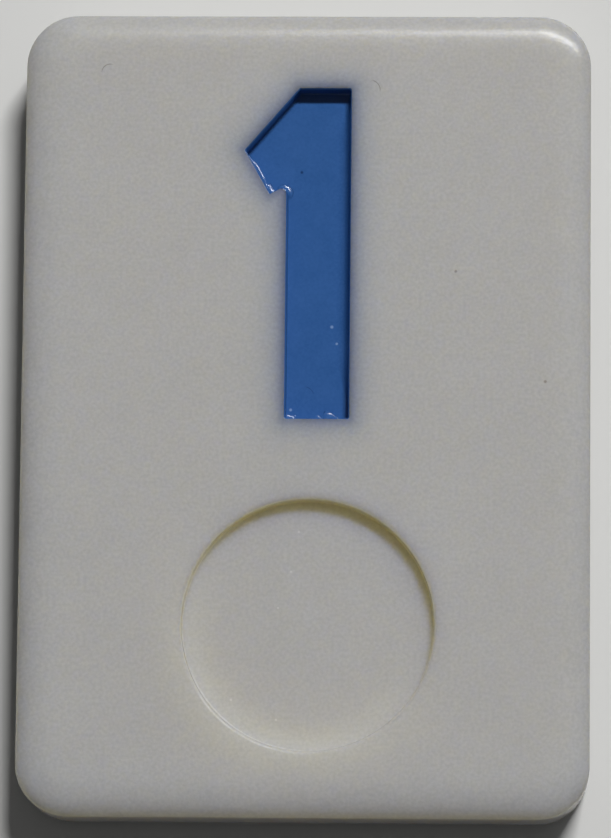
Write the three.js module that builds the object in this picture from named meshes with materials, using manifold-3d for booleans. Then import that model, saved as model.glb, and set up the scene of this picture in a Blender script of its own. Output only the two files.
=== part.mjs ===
// Rummy tile: one moulded ivory resin body, engraved with a numeral that is lined with blue paint,
// and a plain round thumb recess below the numeral.
// Millimetres. The tile lies on its back: +X is the numeral's right, +Y its top, and +Z is the way
// that the face looks. The origin is the middle of the back.

import * as THREE from 'three';
import { mergeVertices } from 'three/addons/utils/BufferGeometryUtils.js';
import Module from 'manifold-3d';

// Tile body
const tileWidth = 26.7;
const tileHeight = 38;
const tileThickness = 4.8;
const plainCornerRadius = 2.45; // corners, seen from the front
const frontEdgeDrop = 0.82; // how far the front's rounded edge falls away
const backEdgeDrop = 0.7;
const edgeStretch = 2.25; // how far a rounded edge reaches across the tile for each part that it drops
const leastSideBand = 0.4; // flat band that the two edge roundings leave round the side

// Thumb recess, a flat-bottomed dish
const thumbDiameter = 11.8;
const thumbDepth = 0.85;
const thumbDraftDegrees = 1;
const thumbRimRadius = 0.12;
const thumbFloorRadius = 0.3;
const thumbLowerMargin = 3.05; // tile's lower edge to the recess
const thumbOffset = 0.22; // recess's middle, right of the tile's

// Numeral: a stem with a flag that hangs from its top, given by its outline on the face
const numeralUpperMargin = 3.6; // tile's upper edge to the numeral
const numeralFootGap = 3.76; // numeral's foot to the thumb recess
const stemWidth = 3.06;
const stemOffset = 0.55; // stem's middle, right of the tile's
const headWidth = 2.46; // level top of the stem, up to where the flag slopes away
const flagReach = 1.98; // flag's outer tip, left of the stem
const flagDrop = 2.99; // flag's outer tip, below the top
const heelReach = 0.78; // flag's lower tip, left of the stem
const heelDrop = 5.12; // flag's lower tip, below the top
const crotchDrop = 4.68; // flag's underside where it meets the stem, below the top
const crotchRadius = 0.22;
const cutterRadius = 0.1; // every other corner of the numeral
const numeralDepth = 1.12;
const numeralDraftDegrees = 1.5;
const numeralRimRadius = 0.08;
const numeralFloorRadius = 0.1;

// Paint that lines the numeral: thin on the walls, drawn up into a soft fillet round the floor
const paintFloorCoat = 0.1;
const paintWallCoat = 0.05;
const paintFilletRadius = 0.14;

// How finely the round forms are divided
const cornerSteps = 10;
const edgeSteps = 8;
const rimSteps = 4;
const floorSteps = 5;
const dishSegments = 72;

// Working allowances
const cutterRise = 1; // how far a cutter stands above the face
const sharpRadius = 0.01; // least radius that a corner keeps
const weldDistance = 1e-5;

const wasm = await Module();
wasm.setup();

const ivoryResin = new THREE.MeshStandardMaterial({ color: 0xada9a2, roughness: 0.4, metalness: 0 });
const bluePaint = new THREE.MeshStandardMaterial({ color: 0x2f568e, roughness: 0.2, metalness: 0 });

// Places that follow from the sizes
const numeralTop = tileHeight / 2 - numeralUpperMargin;
const thumbMiddle = -tileHeight / 2 + thumbLowerMargin + thumbDiameter / 2;
const numeralFoot = thumbMiddle + thumbDiameter / 2 + numeralFootGap;
const stemLeft = stemOffset - stemWidth / 2;
const stemRight = stemOffset + stemWidth / 2;

function corner(x, y, radius) {
  return { point: new THREE.Vector2(x, y), radius };
}

// Directions of the two edges that meet at a corner, the way round that the outline runs, and how far
// the outline turns there: counterclockwise is positive.
function edgesAt(corners, index) {
  const count = corners.length;
  const here = corners[index].point;
  const before = here.clone().sub(corners[(index + count - 1) % count].point).normalize();
  const after = corners[(index + 1) % count].point.clone().sub(here).normalize();
  return { before, after, turn: Math.atan2(before.cross(after), before.dot(after)) };
}

function leftOf(direction) {
  return new THREE.Vector2(-direction.y, direction.x);
}

// A counterclockwise outline drawn in by a distance, or let out where it is negative. An inner corner's
// rounding grows by that distance. An outer corner's shrinks, but a tool's corner keeps its own.
function drawnIn(corners, distance, keepsRadius) {
  return corners.map(({ point, radius }, index) => {
    const { before, after, turn } = edgesAt(corners, index);
    const mitre = leftOf(before).add(leftOf(after)).divideScalar(1 + before.dot(after));
    const outerRadius = keepsRadius ? radius : Math.max(radius - distance, sharpRadius);
    const moved = point.clone().addScaledVector(mitre, distance);
    return { point: moved, radius: turn > 0 ? outerRadius : radius + distance };
  });
}

// One level ring of points round an outline, with the same count whatever the radii. A rounding is
// limited by the edges beside it.
function ringAt(corners, height) {
  const count = corners.length;
  const tangents = corners.map(({ radius }, index) => {
    return radius * Math.tan(Math.abs(edgesAt(corners, index).turn) / 2);
  });
  const shares = corners.map(({ point }, index) => {
    const next = (index + 1) % count;
    const length = point.distanceTo(corners[next].point);
    return Math.min(1, length / (tangents[index] + tangents[next] + sharpRadius));
  });
  const ring = [];
  corners.forEach(({ point, radius }, index) => {
    const { before, turn } = edgesAt(corners, index);
    const share = Math.min(shares[index], shares[(index + count - 1) % count]);
    const start = point.clone().addScaledVector(before, -tangents[index] * share);
    const centre = start.clone().addScaledVector(leftOf(before), Math.sign(turn) * radius * share);
    for (let step = 0; step <= cornerSteps; step += 1) {
      const { x, y } = start.clone().rotateAround(centre, (turn * step) / cornerSteps);
      ring.push(new THREE.Vector3(x, y, height));
    }
  });
  return ring;
}

// Closed skin over a row of level rings, with the first and the last filled in.
function loft(rings) {
  const size = rings[0].length;
  const positions = rings.flat().flatMap(({ x, y, z }) => [x, y, z]);
  const triangles = [];
  for (let level = 0; level < rings.length - 1; level += 1) {
    const low = level * size;
    const high = low + size;
    for (let side = 0; side < size; side += 1) {
      const next = (side + 1) % size;
      triangles.push(low + side, low + next, high + next);
      triangles.push(low + side, high + next, high + side);
    }
  }
  const last = (rings.length - 1) * size;
  THREE.ShapeUtils.triangulateShape(rings[0], []).forEach(([a, b, c]) => triangles.push(a, c, b));
  THREE.ShapeUtils.triangulateShape(rings.at(-1), []).forEach(([a, b, c]) => {
    triangles.push(last + a, last + b, last + c);
  });
  const geometry = new THREE.BufferGeometry();
  geometry.setAttribute('position', new THREE.Float32BufferAttribute(positions, 3));
  geometry.setIndex(triangles);
  return geometry;
}

// Points of an arc in a section, as [across, height].
function arc([across, height], radius, from, to, steps) {
  return Array.from({ length: steps + 1 }, (unused, step) => {
    const angle = from + ((to - from) * step) / steps;
    return [across + radius * Math.cos(angle), height + radius * Math.sin(angle)];
  });
}

// How far a drafted recess wall stands from the recess's outline on the face: negative is inside.
function wallAt(height, draft) {
  return (height - tileThickness) * Math.tan(draft);
}

// Section of a recess from the rounded foot of its wall up to a height, as [outset, height].
function footAndWall(depth, draft, footRadius, top) {
  const floor = tileThickness - depth;
  const middle = floor + footRadius;
  const across = wallAt(middle, draft) - footRadius / Math.cos(draft);
  const foot = arc([across, middle], footRadius, -Math.PI / 2, -draft, floorSteps);
  return [...foot, [wallAt(top, draft), top]];
}

// Height at which a rounded rim takes over from the wall below it.
function rimFoot(rimRadius, draft) {
  return tileThickness - rimRadius * (1 - Math.sin(draft));
}

// Section of a whole recess: foot, wall and the rim that rounds over onto the face.
function recessSection(depth, draft, rimRadius, footRadius) {
  const middle = tileThickness - rimRadius;
  const across = wallAt(middle, draft) + rimRadius / Math.cos(draft);
  const rim = arc([across, middle], rimRadius, Math.PI - draft, Math.PI / 2, rimSteps);
  const wall = footAndWall(depth, draft, footRadius, rimFoot(rimRadius, draft));
  return [...wall, ...rim.slice(1)];
}

function solidOf(geometry) {
  geometry.deleteAttribute('normal');
  geometry.deleteAttribute('uv');
  const welded = mergeVertices(geometry, weldDistance);
  const corners = welded.index.array;
  const kept = [];
  for (let first = 0; first < corners.length; first += 3) {
    const [a, b, c] = corners.slice(first, first + 3);
    if (a !== b && b !== c && c !== a) kept.push(a, b, c);
  }
  return new wasm.Manifold(new wasm.Mesh({
    numProp: 3,
    vertProperties: welded.attributes.position.array,
    triVerts: Uint32Array.from(kept),
  }));
}

function meshOf(name, solid, material) {
  const { vertProperties, triVerts } = solid.getMesh();
  const geometry = new THREE.BufferGeometry();
  geometry.setAttribute('position', new THREE.BufferAttribute(vertProperties, 3));
  geometry.setIndex(new THREE.BufferAttribute(triVerts, 1));
  geometry.computeVertexNormals();
  const mesh = new THREE.Mesh(geometry, material);
  mesh.name = name;
  return mesh;
}

// The tile before it is engraved: a rounded rectangle, eased over at the back and at the front by
// quarter ellipses.
function tileBlank() {
  const halfWidth = tileWidth / 2;
  const halfHeight = tileHeight / 2;
  const outline = [
    corner(halfWidth, -halfHeight, plainCornerRadius),
    corner(halfWidth, halfHeight, plainCornerRadius),
    corner(-halfWidth, halfHeight, plainCornerRadius),
    corner(-halfWidth, -halfHeight, plainCornerRadius),
  ];
  const edgeRoom = (tileThickness - leastSideBand) / 2;
  const back = Math.min(backEdgeDrop, edgeRoom);
  const front = Math.min(frontEdgeDrop, edgeRoom);
  const section = [
    ...arc([-back, back], back, -Math.PI / 2, 0, edgeSteps),
    ...arc([-front, tileThickness - front], front, 0, Math.PI / 2, edgeSteps),
  ];
  const rings = section.map(([outset, height]) => {
    return ringAt(drawnIn(outline, -outset * edgeStretch, false), height);
  });
  return loft(rings);
}

function thumbCutter() {
  const draft = THREE.MathUtils.degToRad(thumbDraftDegrees);
  const rim = Math.min(thumbRimRadius, thumbDepth / 2);
  const foot = Math.min(thumbFloorRadius, thumbDepth - rim);
  const section = recessSection(thumbDepth, draft, rim, foot).map(([outset, height]) => {
    return new THREE.Vector2(thumbDiameter / 2 + outset, height);
  });
  const top = tileThickness + cutterRise;
  const profile = [
    new THREE.Vector2(0, section[0].y),
    ...section,
    new THREE.Vector2(section.at(-1).x, top),
    new THREE.Vector2(0, top),
  ];
  const dish = new THREE.LatheGeometry(profile, dishSegments);
  dish.rotateX(Math.PI / 2);
  dish.translate(thumbOffset, thumbMiddle, 0);
  return dish;
}

const numeralOutline = [
  corner(stemRight, numeralFoot, cutterRadius),
  corner(stemRight, numeralTop, cutterRadius),
  corner(stemRight - headWidth, numeralTop, cutterRadius),
  corner(stemLeft - flagReach, numeralTop - flagDrop, cutterRadius),
  corner(stemLeft - heelReach, numeralTop - heelDrop, cutterRadius),
  corner(stemLeft, numeralTop - crotchDrop, crotchRadius),
  corner(stemLeft, numeralFoot, cutterRadius),
];
const numeralDraft = THREE.MathUtils.degToRad(numeralDraftDegrees);
const numeralRim = Math.min(numeralRimRadius, numeralDepth / 2);

function numeralRings(section) {
  return section.map(([outset, height]) => ringAt(drawnIn(numeralOutline, -outset, true), height));
}

function numeralCutter() {
  const section = recessSection(numeralDepth, numeralDraft, numeralRim, numeralFloorRadius);
  const [mouth] = section.at(-1);
  return loft(numeralRings([...section, [mouth, tileThickness + cutterRise]]));
}

// The paint lies on the whole floor and wall of the numeral, up to where the rim starts to round. Its
// skin runs up the ivory wall and back down its own face, which is drawn in by the wall coat.
function numeralLining() {
  const top = rimFoot(numeralRim, numeralDraft);
  const openDepth = numeralDepth - paintFloorCoat;
  const fillet = Math.min(paintFilletRadius, openDepth - numeralRim);
  const bonded = footAndWall(numeralDepth, numeralDraft, numeralFloorRadius, top);
  const open = footAndWall(openDepth, numeralDraft, fillet, top);
  const face = open.map(([outset, height]) => [outset - paintWallCoat, height]).reverse();
  return loft(numeralRings([...bonded, ...face]));
}

const engraved = solidOf(tileBlank()).subtract(solidOf(numeralCutter())).subtract(solidOf(thumbCutter()));

const rummyTile = new THREE.Group();
rummyTile.add(meshOf('tile_body', engraved, ivoryResin));
rummyTile.add(meshOf('numeral_paint', solidOf(numeralLining()), bluePaint));

export default rummyTile;
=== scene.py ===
"""Looks of an ivory rummy tile with a painted numeral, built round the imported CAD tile. Metres, +Z up."""

import math

import bmesh
import bpy
from mathutils import Euler, Matrix, Vector, noise


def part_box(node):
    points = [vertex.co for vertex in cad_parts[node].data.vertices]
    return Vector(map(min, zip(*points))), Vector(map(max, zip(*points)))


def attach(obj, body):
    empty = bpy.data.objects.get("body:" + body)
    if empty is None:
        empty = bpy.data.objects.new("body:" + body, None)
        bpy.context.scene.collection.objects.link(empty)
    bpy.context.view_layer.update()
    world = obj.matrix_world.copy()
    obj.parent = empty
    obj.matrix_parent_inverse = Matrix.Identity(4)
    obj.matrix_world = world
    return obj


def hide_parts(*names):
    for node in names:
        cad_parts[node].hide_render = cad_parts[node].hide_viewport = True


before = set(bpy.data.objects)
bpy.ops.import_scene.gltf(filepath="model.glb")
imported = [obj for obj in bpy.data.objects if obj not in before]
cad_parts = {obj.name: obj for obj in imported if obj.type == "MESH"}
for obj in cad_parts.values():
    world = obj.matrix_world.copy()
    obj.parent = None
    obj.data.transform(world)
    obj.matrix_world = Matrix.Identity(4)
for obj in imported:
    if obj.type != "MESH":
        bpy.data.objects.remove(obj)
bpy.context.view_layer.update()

MM = 0.001

# Tile body, which takes its overall size from the frame
tile_low, tile_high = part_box("tile_body")
tile_width = tile_high.x - tile_low.x
tile_height = tile_high.y - tile_low.y
tile_face = tile_high.z
plain_corner_radius = 2.45 * MM
front_edge_drop = 0.82 * MM
back_edge_drop = 0.7 * MM
edge_stretch = 2.25  # how far a rounded edge reaches across the tile for each part that it drops
flat_border = 0.15 * MM  # level strip that each rounded edge keeps beside it

# Thumb recess
thumb_radius = 5.9 * MM
thumb_depth = 0.95 * MM
thumb_draft = math.radians(1)
thumb_rim_radius = 0.17 * MM
thumb_foot_radius = 0.12 * MM
thumb_lower_margin = 3.05 * MM
thumb_offset = 0.22 * MM

# Numeral
numeral_upper_margin = 3.6 * MM
numeral_foot_gap = 3.76 * MM
stem_width = 3.06 * MM
stem_offset = 0.55 * MM
head_width = 2.46 * MM
flag_reach = 1.98 * MM
flag_drop = 2.99 * MM
heel_reach = 0.78 * MM
heel_drop = 5.12 * MM
crotch_drop = 4.68 * MM
crotch_radius = 0.22 * MM
cutter_radius = 0.1 * MM
numeral_depth = 1.12 * MM
numeral_draft = math.radians(1.5)
numeral_rim_radius = 0.05 * MM
numeral_foot_radius = 0.1 * MM
numeral_border = 0.06 * MM  # level strips that the engraving keeps beside its rim and its foot
numeral_floor_border = 0.01 * MM

# Paint in the numeral
paint_floor_coat = 0.1 * MM
paint_wall_coat = 0.05 * MM
paint_fillet_radius = 0.06 * MM
paint_pools = [  # where the paint pooled to a wider fillet, in mm: (x, from y, to y, spread, radius)
    (2.08, 3.2, 12.6, 2.4, 0.6), (-2.38, 11.4, 11.4, 0.75, 0.24), (-1.86, 10.45, 10.45, 0.3, 0.3),
    (-0.98, 10.72, 10.72, 0.42, 0.36), (-0.84, -0.39, -0.39, 0.22, 0.27),
    (0.56, -0.39, -0.39, 0.18, 0.3), (1.24, -0.39, -0.39, 0.4, 0.46),
]
paint_lip = 0.008 * MM  # what is left of the coat at its upper edge
paint_lip_taper = 0.2 * MM
paint_edge_wander = 0.02 * MM
paint_wander_length = 0.6 * MM
paint_point_spacing = 0.12 * MM

# Marks of use, in mm: dots as (x, y, radius), hairs as (x, y, bend, turn in degrees, half length); first
# the reach of a painted shade
painted_shade_reach = 0.5 * MM  # how far the painted shade reaches into the ivory beside the numeral, standing in for light that the resin loses into the paint
hair_width = 0.035 * MM
hair_core = 0.6  # share of a hair's half length that keeps its full strength
dot_core = 0.4  # share of a dot's radius that keeps its full strength
ivory_hairs = [(-9.58, 16.44, 0.4, 125, 0.4), (3.32, 15.57, 0.5, 35, 0.4)]
dark_specks = [(7.02, 6.63, 0.09), (11.23, 1.42, 0.1)]
pale_specks = [
    (-0.25, -5.6, 0.08), (-0.6, -7.48, 0.08), (-1.19, -9.18, 0.07),
    (-3.34, -13.5, 0.08), (-1.23, -14.42, 0.07),
]
paint_hairs = [(0.22, 1.17, 0.5, 50, 0.3)]
paint_dark_specks = [(-0.28, 11.53, 0.09)]
# pale dots on the paint: the first two are pale specks, the last is a painted glint where the paint's foot
# catches the light
paint_specks_and_glint = [(1.2, 4.13, 0.1), (1.44, 3.33, 0.08), (-0.7, 0.18, 0.09)]

# How finely the round forms are divided
corner_steps = 24
edge_steps = 24
rim_steps = 8
foot_steps = 8
dish_segments = 160
numeral_corner_steps = 8
weld_distance = 0.001 * MM

# Places that follow from the sizes
numeral_top = tile_height / 2 - numeral_upper_margin
thumb_middle = -tile_height / 2 + thumb_lower_margin + thumb_radius
numeral_foot = thumb_middle + thumb_radius + numeral_foot_gap
stem_left = stem_offset - stem_width / 2
stem_right = stem_offset + stem_width / 2
numeral_corners = [
    (stem_right, numeral_foot, cutter_radius),
    (stem_right, numeral_top, cutter_radius),
    (stem_right - head_width, numeral_top, cutter_radius),
    (stem_left - flag_reach, numeral_top - flag_drop, cutter_radius),
    (stem_left - heel_reach, numeral_top - heel_drop, cutter_radius),
    (stem_left, numeral_top - crotch_drop, crotch_radius),
    (stem_left, numeral_foot, cutter_radius),
]


class Wire:
    """An output socket. Operators on wires and plain numbers add Math nodes to its tree."""

    def __init__(self, graph, socket):
        self.graph = graph
        self.socket = socket

    def math(self, operation, *values):
        inputs = dict(enumerate(values))
        return self.graph.node("ShaderNodeMath", {"operation": operation}, inputs)

    def __add__(self, other):
        return self.math("ADD", self, other)

    def __sub__(self, other):
        return self.math("SUBTRACT", self, other)

    def __rsub__(self, other):
        return self.math("SUBTRACT", other, self)

    def __mul__(self, other):
        return self.math("MULTIPLY", self, other)

    def __lt__(self, other):
        return self.math("LESS_THAN", self, other)

    def __gt__(self, other):
        return self.math("GREATER_THAN", self, other)

    __radd__ = __add__
    __rmul__ = __mul__


class Graph:
    """A node tree that is written from left to right."""

    def __init__(self, tree):
        self.tree = tree

    def node(self, kind, settings=None, inputs=None, output=0):
        """Add a node: its settings first, then values or wires for its sockets, by name or place."""
        made = self.tree.nodes.new(kind)
        for name, value in (settings or {}).items():
            if name == "items":
                add_items(made.index_switch_items, value)
            else:
                setattr(made, name, value)
        for place, value in (inputs or {}).items():
            self.feed(made.inputs[place], value)
        return Wire(self, made.outputs[output]) if made.outputs else made

    def feed(self, socket, value):
        if isinstance(value, Wire):
            self.tree.links.new(value.socket, socket)
        elif isinstance(value, list):
            for wire in value:
                self.tree.links.new(wire.socket, socket)
        else:
            socket.default_value = value


def add_items(items, count):
    while len(items) < count:
        items.new()


def srgb(red, green, blue):
    """A colour as seen on a screen, 0 to 255, as linear light."""
    shares = (red / 255, green / 255, blue / 255)
    return tuple(c / 12.92 if c <= 0.04045 else ((c + 0.055) / 1.055) ** 2.4 for c in shares)


# Sections of the recesses, as (across, height)


def arc(centre, radius, start, stop, steps):
    angles = [start + (stop - start) * step / steps for step in range(steps + 1)]
    return [(centre[0] + radius * math.cos(a), centre[1] + radius * math.sin(a)) for a in angles]


def wall_at(height, draft):
    """How far a drafted wall stands from the outline on the face: negative is inside the recess."""
    return (height - tile_face) * math.tan(draft)


def foot_and_wall(depth, draft, foot_radius, top):
    middle = tile_face - depth + foot_radius
    across = wall_at(middle, draft) - foot_radius / math.cos(draft)
    foot = arc((across, middle), foot_radius, -math.pi / 2, -draft, foot_steps)
    return [*foot, (wall_at(top, draft), top)]


# Ivory body


def section_curve(graph, corners, steps, stretch=1.0):
    """Open section through four corners, each rounded by its own drop: (across, height, drop)."""
    points = {
        f"Point {n + 1}": (across / stretch, -height, 0) for n, (across, height, drop) in enumerate(corners)
    }
    loop = graph.node("GeometryNodeCurvePrimitiveQuadrilateral", {"mode": "POINTS"}, points)
    line = graph.node("GeometryNodeSetSplineCyclic", {}, {"Geometry": loop, "Cyclic": False})
    index = graph.node("GeometryNodeInputIndex")
    radii = {n + 1: drop for n, (across, height, drop) in enumerate(corners)}
    switch = {"data_type": "FLOAT", "items": len(corners)}
    radius = graph.node("GeometryNodeIndexSwitch", switch, {0: index, **radii})
    rounding = {"Curve": line, "Count": steps, "Radius": radius}
    rounded = graph.node("GeometryNodeFilletCurve", {"mode": "POLY"}, rounding)
    return graph.node("GeometryNodeTransform", {}, {"Geometry": rounded, "Scale": (stretch, 1, 1)})


def band(graph, path, section):
    """Skin that carries a section round a level path."""
    upright = graph.node("GeometryNodeSetCurveNormal", {"mode": "Z_UP"}, {"Curve": path})
    inputs = {"Curve": upright, "Profile Curve": section, "Scale": 1.0}
    return graph.node("GeometryNodeCurveToMesh", {}, inputs)


def level_fill(graph, bands, level, looks_down):
    """Flat face inside the open edges that the bands leave at one level."""
    neighbours = graph.node("GeometryNodeInputMeshEdgeNeighbors")
    place = graph.node("GeometryNodeInputPosition")
    height = graph.node("ShaderNodeSeparateXYZ", {}, {0: place}, "Z")
    here = (height > level - weld_distance) * (height < level + weld_distance)
    rim = graph.node("GeometryNodeMeshToCurve", {}, {"Mesh": bands, "Selection": (neighbours < 1.5) * here})
    face = graph.node("GeometryNodeFillCurve", {"mode": "TRIANGLES"}, {"Curve": rim})
    placed = graph.node("GeometryNodeTransform", {}, {"Geometry": face, "Translation": (0, 0, level)})
    flat = graph.node("GeometryNodeSetShadeSmooth", {}, {"Geometry": placed, "Shade Smooth": False})
    return graph.node("GeometryNodeFlipFaces", {}, {"Mesh": flat}) if looks_down else flat


def tile_tree(material):
    """Tree that grows the tile round the numeral's outline, which is the curve that it is given."""
    tree = bpy.data.node_groups.new("ivory tile", "GeometryNodeTree")
    graph = Graph(tree)
    sizes = {
        "Width": tile_width,
        "Height": tile_height,
        "Corner Radius": plain_corner_radius,
        "Thumb Radius": thumb_radius,
    }
    tree.interface.new_socket("Geometry", in_out="INPUT", socket_type="NodeSocketGeometry")
    for name, value in sizes.items():
        tree.interface.new_socket(name, in_out="INPUT", socket_type="NodeSocketFloat").default_value = value
    tree.interface.new_socket("Geometry", in_out="OUTPUT", socket_type="NodeSocketGeometry")
    given = tree.nodes.new("NodeGroupInput")
    size = {name: Wire(graph, given.outputs[name]) for name in sizes}

    rectangle = graph.node(
        "GeometryNodeCurvePrimitiveQuadrilateral", {}, {"Width": size["Width"], "Height": size["Height"]}
    )
    plan = graph.node(
        "GeometryNodeFilletCurve",
        {"mode": "POLY"},
        {"Curve": rectangle, "Count": corner_steps, "Radius": size["Corner Radius"]},
    )
    edge = [
        (-back_edge_drop * edge_stretch - flat_border, 0, 0),
        (0, 0, back_edge_drop),
        (0, tile_face, front_edge_drop),
        (-front_edge_drop * edge_stretch - flat_border, tile_face, 0),
    ]
    edge_band = band(graph, plan, section_curve(graph, edge, edge_steps, edge_stretch))

    ring = graph.node(
        "GeometryNodeCurvePrimitiveCircle",
        {"mode": "RADIUS"},
        {"Resolution": dish_segments, "Radius": size["Thumb Radius"]},
    )
    ring_there = graph.node(
        "GeometryNodeTransform", {}, {"Geometry": ring, "Translation": (thumb_offset, thumb_middle, 0)}
    )
    thumb_floor = tile_face - thumb_depth
    thumb_wall = wall_at(thumb_floor, thumb_draft)
    dish = [
        (thumb_wall - thumb_foot_radius - flat_border, thumb_floor, 0),
        (thumb_wall, thumb_floor, thumb_foot_radius),
        (0, tile_face, thumb_rim_radius),
        (thumb_rim_radius + flat_border, tile_face, 0),
    ]
    dish_band = band(graph, ring_there, section_curve(graph, dish, rim_steps))

    drawn = Wire(graph, given.outputs["Geometry"])
    rounding = graph.node("GeometryNodeInputRadius")
    stroke = graph.node(
        "GeometryNodeFilletCurve",
        {"mode": "POLY"},
        {"Curve": drawn, "Count": numeral_corner_steps, "Radius": rounding},
    )
    numeral_floor = tile_face - numeral_depth
    numeral_wall = wall_at(numeral_floor, numeral_draft)
    engraving = [
        (numeral_wall - numeral_floor_border, numeral_floor, 0),
        (numeral_wall, numeral_floor, 0),
        (0, tile_face, numeral_rim_radius),
        (numeral_rim_radius + numeral_border, tile_face, 0),
    ]
    numeral_band = band(graph, stroke, section_curve(graph, engraving, rim_steps))

    bands = graph.node("GeometryNodeJoinGeometry", {}, {0: [edge_band, dish_band, numeral_band]})
    smooth = graph.node("GeometryNodeSetShadeSmooth", {}, {"Geometry": bands, "Shade Smooth": True})
    levels = [(0, True), (numeral_floor, False), (thumb_floor, False), (tile_face, False)]
    fills = [level_fill(graph, smooth, level, looks_down) for level, looks_down in levels]
    skin = graph.node("GeometryNodeJoinGeometry", {}, {0: [smooth, *fills]})
    welded = graph.node("GeometryNodeMergeByDistance", {}, {"Geometry": skin, "Distance": weld_distance})
    real = graph.node("GeometryNodeRealizeInstances", {}, {"Geometry": welded})
    finished = graph.node("GeometryNodeSetMaterial", {}, {"Geometry": real, "Material": material})
    graph.node("NodeGroupOutput", {}, {"Geometry": finished})
    return tree


def numeral_curve():
    """Closed outline of the numeral, with each corner's rounding as its point's radius."""
    curve = bpy.data.curves.new("numeral outline", "CURVE")
    curve.dimensions = "3D"
    spline = curve.splines.new("POLY")
    spline.points.add(len(numeral_corners) - 1)
    for point, (x, y, radius) in zip(spline.points, numeral_corners):
        point.co = (x, y, 0, 1)
        point.radius = radius
    spline.use_cyclic_u = True
    return curve


def faced_outwards(mesh):
    """Weld a closed mesh and turn its faces outwards."""
    skin = bmesh.new()
    skin.from_mesh(mesh)
    bmesh.ops.remove_doubles(skin, verts=skin.verts, dist=weld_distance / 10)
    bmesh.ops.recalc_face_normals(skin, faces=skin.faces)
    skin.to_mesh(mesh)
    skin.free()
    return mesh


def piece_from(name, mesh):
    piece = bpy.data.objects.new(name, mesh)
    bpy.context.scene.collection.objects.link(piece)
    return piece


def ivory_body(material):
    host = piece_from("tile_growth", numeral_curve())
    growth = host.modifiers.new("tile", "NODES")
    growth.node_group = tile_tree(material)
    evaluated = host.evaluated_get(bpy.context.evaluated_depsgraph_get())
    mesh = bpy.data.meshes.new_from_object(evaluated)
    bpy.data.objects.remove(host)
    return piece_from("ivory_tile", faced_outwards(mesh))


# Blue paint


def numeral_round():
    """Points round the numeral as (place, reach): a point drawn in by d lies at place + reach * d."""
    count = len(numeral_corners)
    arcs = []
    for n, (x, y, radius) in enumerate(numeral_corners):
        here = Vector((x, y))
        before = (here - Vector(numeral_corners[n - 1][:2])).normalized()
        after = (Vector(numeral_corners[(n + 1) % count][:2]) - here).normalized()
        turn = math.atan2(before.x * after.y - before.y * after.x, before.dot(after))
        left = Vector((-before.y, before.x))
        mitre = (left + Vector((-after.y, after.x))) / (1 + before.dot(after))
        tangent = math.tan(abs(turn) / 2)
        growth = 0 if turn > 0 else 1
        points = []
        for step in range(numeral_corner_steps + 1):
            swing = Matrix.Rotation(turn * step / numeral_corner_steps, 2)
            spoke = math.copysign(1, turn) * left
            shape = -before * tangent + spoke - swing @ spoke
            points.append((here + shape * radius, mitre + shape * growth))
        arcs.append(points)
    around = []
    for n, points in enumerate(arcs):
        around.extend(points)
        (place, reach), (next_place, next_reach) = points[-1], arcs[(n + 1) % count][0]
        parts = max(1, round((next_place - place).length / paint_point_spacing))
        for part in range(1, parts):
            share = part / parts
            around.append((place.lerp(next_place, share), reach.lerp(next_reach, share)))
    return around


def pooled_radius(place):
    """Radius of the paint's fillet, which is thin except where the paint pooled."""
    radius = paint_fillet_radius
    for x, low, high, spread, pool_radius in paint_pools:
        nearest = Vector((x, min(max(place.y / MM, low), high)))
        gap = (place / MM - nearest).length / spread
        radius = max(radius, pool_radius * MM * math.exp(-(gap**4)))
    return radius


def paint_column(place):
    """Section of the paint at one place round the numeral: up the ivory wall, then down its own face."""
    wander = noise.noise(Vector((place.x, place.y, 0)) / paint_wander_length)
    top = tile_face - numeral_rim_radius - paint_edge_wander * (0.5 + 0.5 * wander)
    open_depth = numeral_depth - paint_floor_coat
    bonded = foot_and_wall(numeral_depth, numeral_draft, numeral_foot_radius, top)
    opened = foot_and_wall(open_depth, numeral_draft, pooled_radius(place), top - paint_lip_taper)
    face = [(across - paint_wall_coat, height) for across, height in reversed(opened)]
    return [*bonded, (wall_at(top, numeral_draft) - paint_lip, top), *face]


def blue_numeral(material):
    """Paint skin: columns round the numeral, closed by its underside and its floor."""
    skin = bmesh.new()
    columns = []
    for place, reach in numeral_round():
        section = [(place - reach * across, height) for across, height in paint_column(place)]
        columns.append([skin.verts.new((point.x, point.y, height)) for point, height in section])
    for n, column in enumerate(columns):
        following = columns[(n + 1) % len(columns)]
        for low in range(len(column) - 1):
            corners = (column[low], following[low], following[low + 1], column[low + 1])
            skin.faces.new(corners).smooth = True
    skin.faces.new([column[0] for column in reversed(columns)])
    skin.faces.new([column[-1] for column in columns])
    bmesh.ops.triangulate(skin, faces=[face for face in skin.faces if len(face.verts) > 4])
    mesh = bpy.data.meshes.new("blue numeral")
    skin.to_mesh(mesh)
    skin.free()
    mesh.materials.append(material)
    return piece_from("blue_numeral", faced_outwards(mesh))


# Finishes: colours as seen on a screen, tints that multiply them, and the size of their clouds

ivory_tones = srgb(188, 187, 185), srgb(194, 193, 191)
ivory_tone_size = 4 * MM
ivory_mottle_tint = (0.975, 0.97, 0.965)
ivory_mottle_size = 0.8 * MM
ivory_grain_tint = (0.9, 0.9, 0.9)
ivory_grain_size = 0.16 * MM
ivory_cloud_spread = (0.3, 0.7)  # part of a cloud over which its tint fades
ivory_gloss_size = 1.2 * MM
ivory_relief_size = 0.2 * MM
ivory_relief_height = 0.01 * MM
# painted shade: multiplies the ivory beside the numeral, darker and bluer nearest the paint
painted_shade_tint = (0.45, 0.53, 0.69)
ivory_hair_tint = (0.55, 0.53, 0.5)
dark_speck_tint = (0.62, 0.58, 0.56)
pale_speck_colour = srgb(222, 220, 218)
pale_speck_strength = 0.5

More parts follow.
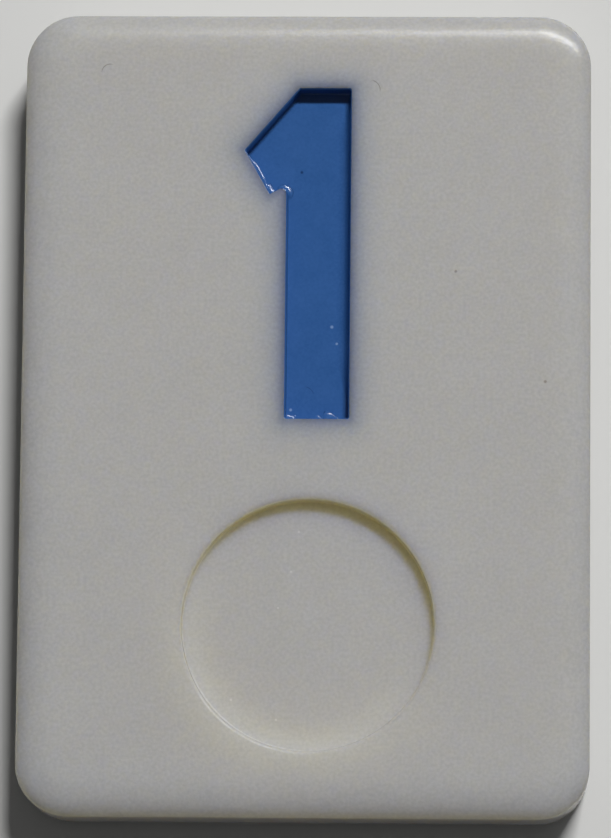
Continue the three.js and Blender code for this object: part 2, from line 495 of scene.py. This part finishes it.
paint_tones = srgb(48, 94, 156), srgb(59, 104, 168)
paint_tone_size = 1.2 * MM
paint_grain_tint = (0.8, 0.86, 0.89)
paint_grain_size = 0.12 * MM
paint_cloud_spread = (0.25, 0.75)
paint_gloss_size = 0.8 * MM
paint_ripple_size = 0.5 * MM
paint_ripple_height = 0.02 * MM
paint_hair_tint = (0.66, 0.66, 0.7)
paint_dark_speck_tint = (0.35, 0.4, 0.45)
# colour of the paint's pale specks and of its painted glint
paint_speck_and_glint_colour = srgb(140, 168, 212)
paint_speck_and_glint_strength = 0.7

floor_colour = srgb(226, 226, 224)
floor_bounce_colour = srgb(172, 172, 170)
floor_far_colour = srgb(214, 214, 212)
floor_near, floor_far = 0.15, 0.8  # metres from the tile over which the floor turns to its far colour


def new_material(name):
    material = bpy.data.materials.new(name)
    material.use_nodes = True
    material.node_tree.nodes.clear()
    return material, Graph(material.node_tree)


def finish_with(graph, shader):
    graph.node("ShaderNodeOutputMaterial", {}, {"Surface": shader})


def object_place(graph):
    return graph.node("ShaderNodeTexCoord", {}, {}, "Object")


def cloudiness(graph, size, detail=2.0):
    """Soft noise from 0 to 1, with clouds of about one size."""
    inputs = {"Vector": object_place(graph), "Scale": 1 / size, "Detail": detail}
    return graph.node("ShaderNodeTexNoise", {}, inputs)


def fade(graph, value, start, stop):
    """One up to start, falling to zero at stop."""
    inputs = {"Value": value, "From Min": start, "From Max": stop, "To Min": 1.0, "To Max": 0.0}
    return graph.node("ShaderNodeMapRange", {}, inputs)


def vector(graph, operation, first, second):
    return graph.node("ShaderNodeVectorMath", {"operation": operation}, {0: first, 1: second}, "Vector")


def measure(graph, operation, first, second):
    return graph.node("ShaderNodeVectorMath", {"operation": operation}, {0: first, 1: second}, "Value")


def blend(graph, factor, first, second):
    inputs = {0: factor}
    for socket, colour in ((6, first), (7, second)):
        inputs[socket] = colour if isinstance(colour, Wire) else (*colour, 1)
    return graph.node("ShaderNodeMix", {"data_type": "RGBA"}, inputs, 2)


def stain(graph, factor, colour, tint):
    """A colour multiplied by a tint, as far as the factor goes."""
    inputs = {0: factor, 6: colour, 7: (*tint, 1)}
    return graph.node("ShaderNodeMix", {"data_type": "RGBA", "blend_type": "MULTIPLY"}, inputs, 2)


def line_gap(graph, place, start, stop):
    """Distance from the straight line between two points."""
    along = stop - start
    offset = vector(graph, "SUBTRACT", place, start)
    share = measure(graph, "DOT_PRODUCT", offset, along / along.length_squared)
    held = graph.node("ShaderNodeClamp", {}, {"Value": share})
    foot = graph.node("ShaderNodeVectorMath", {"operation": "SCALE"}, {0: along, "Scale": held}, "Vector")
    return measure(graph, "DISTANCE", offset, foot)


def numeral_gap(graph, place):
    """Distance from the numeral's outline on the face."""
    corners = [Vector((x, y, tile_face)) for x, y, radius in numeral_corners]
    gaps = [line_gap(graph, place, corners[n - 1], corner) for n, corner in enumerate(corners)]
    nearest = gaps[0]
    for gap in gaps[1:]:
        nearest = nearest.math("MINIMUM", nearest, gap)
    return nearest


def flat_place(graph, place):
    return vector(graph, "MULTIPLY", place, (1, 1, 0))


def dots(graph, place, marks):
    """Soft round dots, given as (x, y, radius) in mm."""
    found = None
    for x, y, radius in marks:
        gap = measure(graph, "DISTANCE", flat_place(graph, place), (x * MM, y * MM, 0))
        dot = fade(graph, gap, dot_core * radius * MM, radius * MM)
        found = dot if found is None else found.math("MAXIMUM", found, dot)
    return found


def hairs(graph, place, marks):
    """Hair-thin curved scratches, given as (x, y, bend, turn, half length) in mm and degrees."""
    found = None
    flat = flat_place(graph, place)
    for x, y, bend, turn, half in marks:
        angle = math.radians(turn)
        middle = Vector((x, y, 0)) * MM
        centre = middle - Vector((math.cos(angle), math.sin(angle), 0)) * bend * MM
        off = measure(graph, "DISTANCE", flat, centre) - bend * MM
        thin = fade(graph, off.math("ABSOLUTE", off), 0.0, hair_width)
        away = measure(graph, "DISTANCE", flat, middle)
        kept = fade(graph, away, hair_core * half * MM, half * MM)
        hair = thin * kept
        found = hair if found is None else found.math("MAXIMUM", found, hair)
    return found


def ivory_finish():
    material, graph = new_material("ivory resin")
    place = object_place(graph)
    plain = blend(graph, cloudiness(graph, ivory_tone_size), *ivory_tones)
    mottle = fade(graph, cloudiness(graph, ivory_mottle_size, 3.0), *ivory_cloud_spread)
    mottled = stain(graph, mottle, plain, ivory_mottle_tint)
    grain = fade(graph, cloudiness(graph, ivory_grain_size, 1.0), *ivory_cloud_spread)
    grained = stain(graph, grain, mottled, ivory_grain_tint)
    # painted shade beside the numeral: the ivory darkens and turns bluer towards the paint, standing in for
    # light that the resin loses into it
    gap = numeral_gap(graph, place)
    painted_shade = gap.math("EXPONENT", gap * (-1 / painted_shade_reach))
    tinted = stain(graph, painted_shade, grained, painted_shade_tint)
    scratched = stain(graph, hairs(graph, place, ivory_hairs), tinted, ivory_hair_tint)
    dusty = stain(graph, dots(graph, place, dark_specks), scratched, dark_speck_tint)
    pale = dots(graph, place, pale_specks) * pale_speck_strength
    colour = blend(graph, pale, dusty, pale_speck_colour)
    roughness = 0.22 + 0.06 * cloudiness(graph, ivory_gloss_size)
    fine = cloudiness(graph, ivory_relief_size, 3.0)
    relief = {"Strength": 1.0, "Distance": ivory_relief_height, "Height": fine}
    bump = graph.node("ShaderNodeBump", {}, relief)
    shader = graph.node(
        "ShaderNodeBsdfPrincipled",
        {"subsurface_method": "BURLEY"},
        {
            "Base Color": colour,
            "Roughness": roughness,
            "IOR": 1.42,
            "Specular IOR Level": 0.4,
            "Normal": bump,
            "Subsurface Weight": 1.0,
            "Subsurface Radius": (1.0, 0.8, 0.33),
            "Subsurface Scale": 3.6 * MM,
        },
    )
    finish_with(graph, shader)
    return material


def paint_finish():
    material, graph = new_material("blue paint")
    place = object_place(graph)
    plain = blend(graph, cloudiness(graph, paint_tone_size), *paint_tones)
    grain = fade(graph, cloudiness(graph, paint_grain_size), *paint_cloud_spread)
    grained = stain(graph, grain, plain, paint_grain_tint)
    scratched = stain(graph, hairs(graph, place, paint_hairs), grained, paint_hair_tint)
    dusty = stain(graph, dots(graph, place, paint_dark_specks), scratched, paint_dark_speck_tint)
    # pale specks, and one painted glint near the foot
    pale = dots(graph, place, paint_specks_and_glint) * paint_speck_and_glint_strength
    colour = blend(graph, pale, dusty, paint_speck_and_glint_colour)
    roughness = 0.16 + 0.08 * cloudiness(graph, paint_gloss_size)
    ripple = cloudiness(graph, paint_ripple_size)
    relief = {"Strength": 0.2, "Distance": paint_ripple_height, "Height": ripple}
    bump = graph.node("ShaderNodeBump", {}, relief)
    shader = graph.node(
        "ShaderNodeBsdfPrincipled",
        {},
        {"Base Color": colour, "Roughness": roughness, "IOR": 1.5, "Normal": bump},
    )
    finish_with(graph, shader)
    return material


def seen_directly(graph):
    """One for what the camera sees, also in gloss and through glass, and zero for light on its way."""
    seen, glossy, through = (
        graph.node("ShaderNodeLightPath", {}, {}, path)
        for path in ("Is Camera Ray", "Is Glossy Ray", "Is Transmission Ray")
    )
    return seen.math("MAXIMUM", seen.math("MAXIMUM", seen, glossy), through)


def floor_finish():
    material, graph = new_material("pale floor")
    seen = seen_directly(graph)
    colour = blend(graph, seen, floor_bounce_colour, floor_colour)
    near = graph.node("ShaderNodeBsdfPrincipled", {}, {"Base Color": colour, "Roughness": 0.9})
    away = measure(graph, "LENGTH", object_place(graph), (0, 0, 0))
    far = (1 - fade(graph, away, floor_near, floor_far)) * seen
    glow = graph.node("ShaderNodeEmission", {}, {"Color": (*floor_far_colour, 1), "Strength": 1.0})
    finish_with(graph, graph.node("ShaderNodeMixShader", {}, {0: far, 1: near, 2: glow}))
    return material


# Stage, light and camera

floor_half = 1.0
floor_rise = 0.2
lamps = {  # place in metres, length along X, depth, power, whether it is the lamp that gloss shows
    "key": ((0.165, 0.368, 0.64), 0.18, 0.06, 4.65, False),
    "strip": ((0.365, 0.506, 0.55), 0.71, 0.025, 7.4, True),
}
surround_strength = 0.08
view_lean_down = math.radians(8.5)
view_lean_right = math.radians(2.0)
view_roll = math.radians(0.567)
view_distance = 253.9 * MM
view_aim = (0.04 * MM, -0.4 * MM)
view_lens = 233.4  # on a sensor 36 mm along the picture's long side


def pale_floor():
    """Level floor that runs up into a low wall all round."""
    corners = [(-1, -1), (1, -1), (1, 1), (-1, 1)]
    level = [(x * floor_half, y * floor_half, 0) for x, y in corners]
    raised = [(x * floor_half, y * floor_half, floor_rise) for x, y in corners]
    walls = [(n, n + 4, (n + 1) % 4 + 4, (n + 1) % 4) for n in range(4)]
    mesh = bpy.data.meshes.new("floor")
    mesh.from_pydata(level + raised, [], [(0, 1, 2, 3), *walls])
    mesh.materials.append(floor_finish())
    piece_from("floor", mesh)


def soft_lamp(name, place, length, depth, power, in_gloss):
    """Long lamp above the tile's upper right, level along X and turned down to the tile."""
    lamp = bpy.data.lights.new(name, "AREA")
    lamp.shape = "RECTANGLE"
    lamp.size = length
    lamp.size_y = depth
    lamp.energy = power
    holder = piece_from(name, lamp)
    holder.location = place
    holder.rotation_euler = Vector((0, -place[1], -place[2])).to_track_quat("-Z", "Y").to_euler()
    holder.visible_glossy = in_gloss
    holder.visible_diffuse = not in_gloss


def surround():
    world = bpy.data.worlds.new("surround")
    world.use_nodes = True
    world.node_tree.nodes.clear()
    graph = Graph(world.node_tree)
    sky = {"Color": (*srgb(240, 240, 240), 1), "Strength": surround_strength}
    graph.node("ShaderNodeOutputWorld", {}, {"Surface": graph.node("ShaderNodeBackground", {}, sky)})
    bpy.context.scene.world = world


def camera():
    towards = Vector((math.tan(view_lean_right), -math.tan(view_lean_down), 1)).normalized()
    right = Vector((0, 1, 0)).cross(towards).normalized()
    axes = Matrix((right, towards.cross(right), towards)).transposed()
    lens = bpy.data.cameras.new("camera")
    lens.lens = view_lens
    lens.clip_start = 10 * MM
    eye = piece_from("camera", lens)
    turned = axes.to_4x4() @ Euler((0, 0, view_roll)).to_matrix().to_4x4()
    eye.matrix_world = Matrix.Translation(Vector((*view_aim, tile_face)) + towards * view_distance) @ turned
    bpy.context.scene.camera = eye


pale_floor()
for lamp_name, lamp_values in lamps.items():
    soft_lamp(lamp_name, *lamp_values)
surround()
camera()

tile = ivory_body(ivory_finish())
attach(tile, "root")
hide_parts("tile_body")

paint = blue_numeral(paint_finish())
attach(paint, "root")
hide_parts("numeral_paint")

bpy.context.scene.view_settings.view_transform = "Standard"
